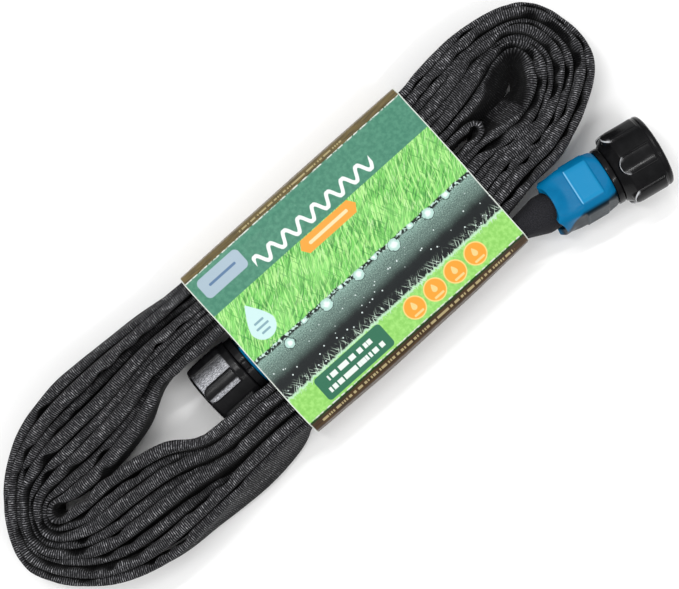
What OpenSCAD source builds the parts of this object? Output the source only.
// Soaker hose wound on edge into a long flat hank, held by a card sleeve. One end carries a
// swivel coupling, the other a screwed end cap, and each is clamped on by a blue nut.
// Origin: centre of the sleeve's underside, which is what the hank lies on. +X along the hank.

/* [Hose] */
// Height of the empty hose as it stands on edge
hose_w = 24.5; // [23:0.5:24.5]
// Thickness of the empty hose, two walls together
hose_t = 3.8; // [3.4:0.1:3.8]
// How far alternate turns sit above and below the middle
turn_offset = 2; // [1.5:0.1:2]
// Height of the hank's middle above the table
hank_mid = 15.6; // [15.5:0.1:15.7]

/* [Sleeve] */
// Length of the card sleeve along the hank
sleeve_len = 125.4; // [122:0.2:126]
// Height of the card sleeve
sleeve_h = 31; // [31:0.1:31.4]
// Width of the sleeve's flat top
sleeve_top_w = 80.8; // [80.6:0.2:81.6]
// Widest part of the sleeve, half way up
sleeve_mid_w = 90; // [89.8:0.2:91]
// Thickness of the card
card_t = 0.5; // [0.4:0.05:0.5]

/* [Clamp nuts] */
// Distance across the flats of a clamp nut
nut_flats = 24.5; // [24.2:0.1:24.6]
// Radius of the nut's rounded corners from its axis
nut_corner_r = 15.2; // [15:0.1:15.3]
// Length of a clamp nut
nut_len = 28.75; // [28.5:0.05:28.8]
// How far the inlet nut is turned about its axis
nut_roll = -16; // [-20:1:20]

/* [Inlet] */
// Radius of the swivel coupling over its ribs
coupling_r = 17.6; // [17.2:0.1:17.7]
// Radius of the coupling's threaded bore
coupling_bore_r = 13.6; // [13.5:0.05:13.7]
// Turn of the inlet fitting away from the hank's length
inlet_turn = -11.2; // [-12:0.1:-11]
// Height of the inlet fitting's axis above the table
inlet_z = 17.9; // [17.8:0.1:18]

/* [Outlet] */
// Radius of the end cap over its lugs
cap_r = 16; // [15.6:0.1:16]
// Radius of the male thread over its crests
thread_r = 13.3; // [13.1:0.05:13.35]
// Thread pitch, which is the cap's travel in one turn
thread_pitch = 2.209; // [2:0.001:2.5]
// Height of the outlet fitting's axis above the table
outlet_z = 16.3; // [16.2:0.1:16.4]

/* [Hidden] */
$fn = 72;

// Winding plan: each spoke is a line across the bundle, [inner x, inner y, outer x, outer y]
// of the first and last turn's middle. The turns cross each spoke evenly spaced.
LEFT_SPOKES = [
    [20, 12, 20, 40.2], [-20, 14.6, -20, 41], [-62, 16, -62, 41.2], [-96, 15.9, -92, 43.4],
    [-118, 8, -120, 45], [-142, 4.2, -140, 44], [-160, 5, -162, 38], [-168.5, 6.5, -180, 24.5],
    [-172, 3, -193.6, 1], [-169, -0.5, -189.5, -15.5], [-160, -2, -172, -33],
    [-142, -3, -149, -43], [-118, -9.5, -120, -44], [-99, -21.3, -92, -43.6],
    [-62, -20.3, -62, -41.4], [-30, -18.6, -30, -40.8], [0, -12.5, 0, -39.5]
];
RIGHT_SPOKES = [
    [20, -8.5, 20, -33.7], [60, -2.4, 60, -28.6], [82, 2, 82, -25.5], [98, 2.5, 100, -24.2],
    [107, 6, 119, -16.2], [111.5, 12, 134, -3.5], [112.5, 17, 137.3, 11],
    [110.5, 20.5, 131.5, 28.3], [104, 20, 118.3, 37.8], [92, 15.5, 97, 42.3],
    [76, 14, 76, 41.3], [60, 9, 60, 39.2]
];
SPLINE_STEPS = 4;

// Places of the fittings: the middle of each clamp nut's mouth
inlet_mouth = [78, -41.2, inlet_z];
outlet_mouth = [-35, -2.75, outlet_z];

// Lengthwise places on both fittings, from the clamp nut's mouth
stem_from = 3;
hose_stop = 18;
shoulder_from = 18.8;
collar_from = 28.85;
inlet_collar_to = 31.4;
outlet_collar_to = 32.4;

// Radii that both fittings share
stem_bore_r = 4.8;
stem_r = 6;
liner_r = 7.5;
jacket_r = 8.7;
gripper_r = 10.2;
nut_thread_r = 11;
gap = 0.1;

// Swivel coupling, lengthwise
neck_from = 31.6;
neck_to = 36.1;
flange_to = 37.8;
disc_to = 38.9;
washer_to = 41.9;
coupling_to = 54.1;
tail_r = 9;
flange_r = 12.6;

// End cap, lengthwise
cap_from = 32.6;
cap_rim_to = 36.2;
thread_to = 46;
cap_floor = 49;
cap_to = 53.7;

// Outer stretch of the hose, from the hank to the inlet: [x, y, z, half width, half height]
INLET_ROUTE = [
    [14, -38.2, 15.6, 1.9, 12.2], [30, -37.8, 15.7, 2.2, 12.1], [44, -37.4, 16, 3.3, 11.8],
    [54, -37.5, 16.5, 4.7, 11.3], [63, -38.3, 17, 6, 10.7], [70, -39.6, 17.5, 7.8, 10.1],
    [74, -40.4, 17.8, 8.9, 9.7], [78.4, -41.3, 17.9, 9.3, 9.4]
];
// Inner stretch of the hose, from the hank to the outlet, in the same form
OUTLET_ROUTE = [
    [-14, -2.2, 15.6, 1.9, 12.2], [-19, -2.4, 15.9, 3, 11.9], [-24, -2.6, 16.2, 5, 11.1],
    [-28, -2.75, 16.3, 7.2, 10], [-32, -2.75, 16.3, 8.8, 9.3], [-35.4, -2.75, 16.3, 9.2, 9.2]
];
SECTION_SIDES = 12;

function unit(v) = v / norm(v);

// Smooth curve through points
function spline_at(p, i, t) =
    let (a = p[max(i - 1, 0)], b = p[i], c = p[i + 1], d = p[min(i + 2, len(p) - 1)])
    0.5 * (2 * b + (c - a) * t + (2 * a - 5 * b + 4 * c - d) * t * t
        + (3 * b - a - 3 * c + d) * t * t * t);
function smooth(p, steps) = concat(
    [for (i = [0:len(p) - 2]) for (j = [0:steps - 1]) spline_at(p, i, j / steps)],
    [p[len(p) - 1]]
);

// The two edges of the bundle at a spoke, moved outward or inward from the turn's middle
function inner_of(s) = [s[0], s[1]];
function outer_of(s) = [s[2], s[3]];
function outer_edge(s, d) = outer_of(s) + d * unit(outer_of(s) - inner_of(s));
function inner_edge(s, d) = inner_of(s) - d * unit(outer_of(s) - inner_of(s));

// Hank's outline; the last turn leaves it at hank_step_x, where the inlet end takes over
hank_step_x = 14;
hank_step_y = -36.2;
module hank_outline(inset) {
    edge = concat(
        [for (s = RIGHT_SPOKES) outer_edge(s, hose_t / 2 - inset)],
        [for (s = LEFT_SPOKES) outer_edge(s, hose_t / 2 - inset)]
    );
    polygon(concat(
        smooth(edge, SPLINE_STEPS),
        [[hank_step_x, -40.2 + inset], [hank_step_x, hank_step_y + inset]]
    ));
}

// Bay that the outlet fitting lies in, open from the left loop to the outlet hose end
bay_end_x = -14;
module outlet_bay() {
    edge = [for (i = [2:len(LEFT_SPOKES) - 2]) inner_edge(LEFT_SPOKES[i], hose_t / 2 + 0.1)];
    polygon(concat([[bay_end_x, 12.2]], smooth(edge, SPLINE_STEPS), [[bay_end_x, -14.6]]));
}

module hose_hank() {
    half = hose_w / 2 + turn_offset;
    shoulder = 5;
    color("dimgray") difference() {
        union() {
            translate([0, 0, hank_mid - half])
                linear_extrude(2 * half) hank_outline(4.6);
            translate([0, 0, hank_mid - half + shoulder])
                linear_extrude(2 * (half - shoulder)) hank_outline(0);
        }
        translate([0, 0, hank_mid - half - 1])
            linear_extrude(2 * half + 2) outlet_bay();
    }
}

// A solid swept through rings [x, y, z, half width, half height] that stay upright
function side_of(p, i) =
    let (a = p[max(i - 1, 0)], b = p[min(i + 1, len(p) - 1)], t = unit([b[0] - a[0], b[1] - a[1]]))
    [-t[1], t[0], 0];
function ring_at(p, i) = [
    for (k = [0:SECTION_SIDES - 1]) let (angle = 360 * k / SECTION_SIDES, r = p[i])
        [r[0], r[1], r[2]] + r[3] * cos(angle) * side_of(p, i) + [0, 0, r[4] * sin(angle)]
];
module upright_tube(p) {
    n = SECTION_SIDES;
    last = (len(p) - 1) * n;
    polyhedron(
        points = [for (i = [0:len(p) - 1]) each ring_at(p, i)],
        faces = concat(
            [[for (k = [0:n - 1]) k]],
            [for (i = [0:len(p) - 2]) for (k = [0:n - 1])
                let (a = i * n + k, b = i * n + (k + 1) % n)
                [a, a + n, b + n, b]],
            [[for (k = [n - 1:-1:0]) last + k]]
        )
    );
}

// Fitting frames: +X runs along the fitting from the clamp nut's mouth
module at_inlet() { translate(inlet_mouth) rotate([0, 0, inlet_turn]) children(); }
module at_outlet() { translate(outlet_mouth) rotate([0, 0, 180]) children(); }

// Round solid along the fitting's axis from a profile of [along, radius] points
module turned(profile) {
    rotate([0, 90, 0]) rotate_extrude() polygon([for (p = profile) [p[1], p[0]]]);
}
module bar(from, to, r) { turned([[from, 0], [to, 0], [to, r], [from, r]]); }
module pipe(from, to, r_in, r_out) {
    turned([[from, r_in], [to, r_in], [to, r_out], [from, r_out]]);
}

module hose_end_in_nut() {
    turned([
        [0, liner_r + gap], [hose_stop, liner_r + gap], [hose_stop, jacket_r],
        [4, jacket_r], [0, 9]
    ]);
}
module hose_inlet_end() {
    color("dimgray") upright_tube(smooth(INLET_ROUTE, 3));
    color("dimgray") at_inlet() hose_end_in_nut();
}
module hose_outlet_end() {
    color("dimgray") upright_tube(smooth(OUTLET_ROUTE, 3));
    color("dimgray") at_outlet() hose_end_in_nut();
}

// Closed card loop, seen along the hank: flat top, bulging sides, flat underside
module sleeve_section(inset) {
    half_top = sleeve_top_w / 2;
    half_mid = sleeve_mid_w / 2;
    right = [
        [half_top + 0.8, 0], [half_mid - 1, 5], [half_mid, sleeve_h / 2],
        [half_mid - 1, sleeve_h - 5], [half_top, sleeve_h]
    ];
    polygon(concat(
        [for (p = right) [p[0] - inset, p[1] + (p[1] == 0 ? inset : p[1] == sleeve_h ? -inset : 0)]],
        [for (i = [4:-1:0]) let (p = right[i])
            [-p[0] + inset, p[1] + (p[1] == 0 ? inset : p[1] == sleeve_h ? -inset : 0)]]
    ));
}
module card_sleeve() {
    seam_w = 18;
    color("yellowgreen")
        translate([-sleeve_len / 2, 0, 0]) rotate([90, 0, 90]) linear_extrude(sleeve_len)
            union() {
                difference() {
                    sleeve_section(0);
                    sleeve_section(card_t);
                }
                translate([10, card_t]) square([seam_w, card_t]);
            }
}

// Nut with four raised panels and a scooped mouth; it screws on the body's shoulder
module clamp_nut(roll) {
    half = nut_flats / 2;
    scoop_r = 30;
    scoop_depth = 2.2;
    panel = [10.5, 17, 0.7];
    panel_from = 13;
    difference() {
        intersection() {
            rotate([roll, 0, 0]) union() {
                translate([0, -half, -half]) cube([nut_len, nut_flats, nut_flats]);
                for (turn = [0:90:270]) rotate([turn, 0, 0])
                    translate([panel_from, -panel[1] / 2, half - 0.5])
                        cube([panel[0], panel[1], panel[2] + 0.5]);
            }
            turned([
                [0, 0], [nut_len, 0], [nut_len, 12.7], [nut_len - 1.4, 13.9], [24, nut_corner_r],
                [3, nut_corner_r], [1, 14.4], [0, 13.4]
            ]);
        }
        rotate([roll, 0, 0]) for (turn = [0, 90]) rotate([turn, 0, 0])
            translate([scoop_depth - scoop_r, 0, -20]) cylinder(r = scoop_r, h = 40, $fn = 120);
        bar(-1, 4, 9.9);
        bar(3.9, 17, gripper_r + gap);
        bar(16.9, nut_len + 1, nut_thread_r + gap);
    }
}
module inlet_clamp_nut() { color("deepskyblue") at_inlet() clamp_nut(nut_roll); }
module outlet_clamp_nut() { color("deepskyblue") at_outlet() clamp_nut(0); }

// Split ring that the nut squeezes on the hose
module gripper() {
    slit = 2;
    difference() {
        turned([
            [5, jacket_r + gap], [15, jacket_r + gap], [15, gripper_r], [7, gripper_r], [5, 9.6]
        ]);
        translate([4, -slit / 2, 0]) cube([12, slit, 12]);
    }
}
module inlet_gripper() { color("white") at_inlet() gripper(); }
module outlet_gripper() { color("white") at_outlet() gripper(); }

// Rubber liner of the hose, round the stem
module liner() { pipe(0.5, hose_stop, stem_r + gap, liner_r); }
module inlet_liner() { color("darkslategray") at_inlet() liner(); }
module outlet_liner() { color("darkslategray") at_outlet() liner(); }

// Barbed stem and threaded shoulder that both bodies share
module stem_and_shoulder() {
    barb = 3;
    barbs = 5;
    for (i = [0:barbs - 1]) let (from = stem_from + i * barb)
        turned([[from, 0], [from + barb, 0], [from + barb, stem_r], [from, stem_r - 0.7]]);
    bar(hose_stop - 0.1, shoulder_from, stem_r - 0.7);
    turned([
        [shoulder_from, 0], [collar_from, 0], [collar_from, nut_thread_r],
        [shoulder_from + 1, nut_thread_r], [shoulder_from, nut_thread_r - 0.9]
    ]);
}

module inlet_body() {
    color("#1c1c1e") at_inlet() difference() {
        union() {
            stem_and_shoulder();
            bar(collar_from, inlet_collar_to, 13.4);
            bar(inlet_collar_to - 0.1, flange_to, tail_r);
            bar(neck_to + gap, flange_to, flange_r);
        }
        bar(stem_from - 1, flange_to + 1, stem_bore_r);
    }
}

// Six ribs round a fitting, rounded at one end: from and to along it, outer radius, width
module ribs(from, to, r_in, r_out, width) {
    intersection() {
        pipe(from, to, r_in, r_out);
        for (turn = [0:60:300]) rotate([turn, 0, 0]) union() {
            translate([from + width / 2, -width / 2, 0]) cube([to - from, width, r_out + 1]);
            translate([from + width / 2, 0, 0]) cylinder(d = width, h = r_out + 1);
        }
    }
}

module swivel_coupling() {
    skin_r = coupling_r - 0.9;
    color("#161618") at_inlet() difference() {
        union() {
            turned([
                [neck_from, 0], [coupling_to, 0], [coupling_to, skin_r - 1.4],
                [coupling_to - 0.5, skin_r - 0.5], [coupling_to - 1.4, skin_r],
                [neck_from + 4.8, skin_r], [neck_from, 13]
            ]);
            ribs(neck_from + 2.4, coupling_to - 3.7, skin_r - 3, coupling_r, 9);
        }
        bar(neck_from - 1, neck_to + 0.5, tail_r + 0.06);
        bar(neck_to, washer_to + 0.2, coupling_bore_r + 0.3);
        bar(washer_to + 0.1, coupling_to + 1, coupling_bore_r);
        turned([
            [coupling_to - 0.6, 0], [coupling_to + 0.1, 0],
            [coupling_to + 0.1, coupling_bore_r + 0.7], [coupling_to - 0.6, coupling_bore_r]
        ]);
    }
}

module flow_disc() {
    hole_r = 1.4;
    color("ivory") at_inlet()
        pipe(flange_to + gap, disc_to, hole_r, coupling_bore_r + 0.2);
}
module inlet_washer() {
    color("black") at_inlet() pipe(disc_to, washer_to, 9, coupling_bore_r + 0.2);
}

// Male thread drawn as separate rings at the thread's pitch
module thread_rings(from, to) {
    root_r = thread_r - 1.2;
    bar(from, to, root_r);
    for (x = [from + 1.2:thread_pitch:to - 1.8])
        turned([
            [x, root_r - 0.2], [x + 1.5, root_r - 0.2], [x + 1, thread_r], [x + 0.5, thread_r]
        ]);
}
module outlet_body() {
    nub = [3, 4.2, 1.1];
    collar_r = 13.9;
    color("#1c1c1e") at_outlet() difference() {
        union() {
            stem_and_shoulder();
            bar(collar_from, outlet_collar_to, collar_r);
            translate([collar_from + 0.2, -nub[1] / 2, collar_r - 1])
                cube([nub[0], nub[1], nub[2] + 1]);
            thread_rings(outlet_collar_to - 0.1, thread_to);
        }
        bar(stem_from - 1, outlet_collar_to + 1, stem_bore_r);
        bar(outlet_collar_to, thread_to + 1, 8.5);
    }
}

module end_cap() {
    skin_r = cap_r - 1.1;
    color("#202022") at_outlet() difference() {
        union() {
            turned([
                [cap_from, 0], [cap_to, 0], [cap_to, skin_r - 1.5], [cap_to - 1.5, skin_r],
                [cap_from + 0.6, skin_r], [cap_from, skin_r - 0.6]
            ]);
            mirror([1, 0, 0]) ribs(0.4 - cap_to, -cap_rim_to, skin_r - 2, cap_r, 7.7);
        }
        bar(cap_from - 1, cap_floor, thread_r + 0.08);
        bar(cap_to - 1.2, cap_to + 1, 10);
    }
}
module cap_washer() { color("black") at_outlet() bar(thread_to + gap, cap_floor - gap, 13.2); }

hose_hank();
hose_inlet_end();
hose_outlet_end();
card_sleeve();
inlet_liner();
inlet_gripper();
inlet_clamp_nut();
inlet_body();
swivel_coupling();
inlet_washer();
flow_disc();
outlet_liner();
outlet_gripper();
outlet_clamp_nut();
outlet_body();
end_cap();
cap_washer();
